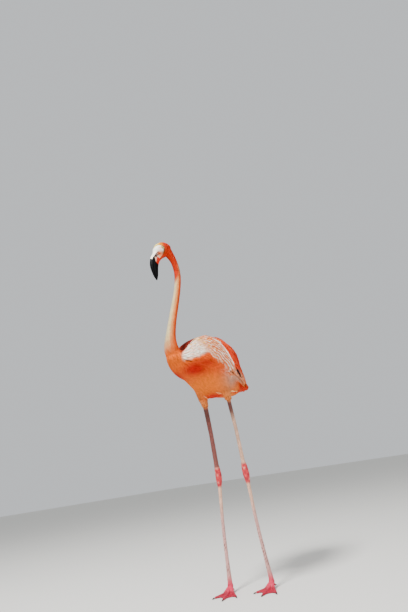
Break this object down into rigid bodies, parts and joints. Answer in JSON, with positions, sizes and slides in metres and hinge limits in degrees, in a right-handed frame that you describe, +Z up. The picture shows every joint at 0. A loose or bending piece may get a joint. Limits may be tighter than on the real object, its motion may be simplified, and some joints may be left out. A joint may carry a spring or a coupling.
{
  "type": "american flamingo model",
  "caption": "Life-size standing flamingo with a raised S-shaped neck, lowered hooked bill, folded wings and webbed feet set one ahead of the other.",
  "frame": {"origin": "on the floor, under the middle of the bounding box", "axes": "+Z up, the bird faces -Y, its left side is +X"},
  "size_m": [0.2246, 0.422, 1.2128],
  "materials": {
    "plumage": "matte, overlapping contour feathers",
    "neck_plumage": "matte, short dense feathers",
    "head_plumage": "matte, very short feathers, bare pale face",
    "wing_coverts": "matte, overlapping coverts",
    "red_plumage": "matte, long loose feathers",
    "black_feather": "matte, stiff flight feathers",
    "bill_horn": "satin horn, pale at the base and black beyond the bend",
    "eye": "wet, glossy",
    "leg_skin": "satin, scaled skin",
    "hock_skin": "satin, scaled skin",
    "foot_skin": "satin, scaled skin and smooth webs",
    "claw_horn": "satin horn"
  },
  "bodies": {
    "root": {"head": "head_plumage", "bill_upper": "bill_horn", "bill_lower": "bill_horn", "eye_right": "eye", "eye_left": "eye", "neck_lower": "red_plumage", "neck_middle": "neck_plumage", "neck_upper": "head_plumage", "trunk": "plumage", "tail": "red_plumage", "wing_right": "wing_coverts", "tertials_right": "red_plumage", "primaries_right": "black_feather", "thigh_right": "plumage", "wing_left": "wing_coverts", "tertials_left": "red_plumage", "primaries_left": "black_feather", "thigh_left": "plumage", "shank_right": "leg_skin", "hock_right": "hock_skin", "tarsus_right": "leg_skin", "foot_right": "foot_skin", "claw_right_outer": "claw_horn", "claw_right_middle": "claw_horn", "claw_right_inner": "claw_horn", "claw_right_hind": "claw_horn", "shank_left": "leg_skin", "hock_left": "hock_skin", "tarsus_left": "leg_skin", "foot_left": "foot_skin", "claw_left_outer": "claw_horn", "claw_left_middle": "claw_horn", "claw_left_inner": "claw_horn", "claw_left_hind": "claw_horn"}
  },
  "joints": []
}
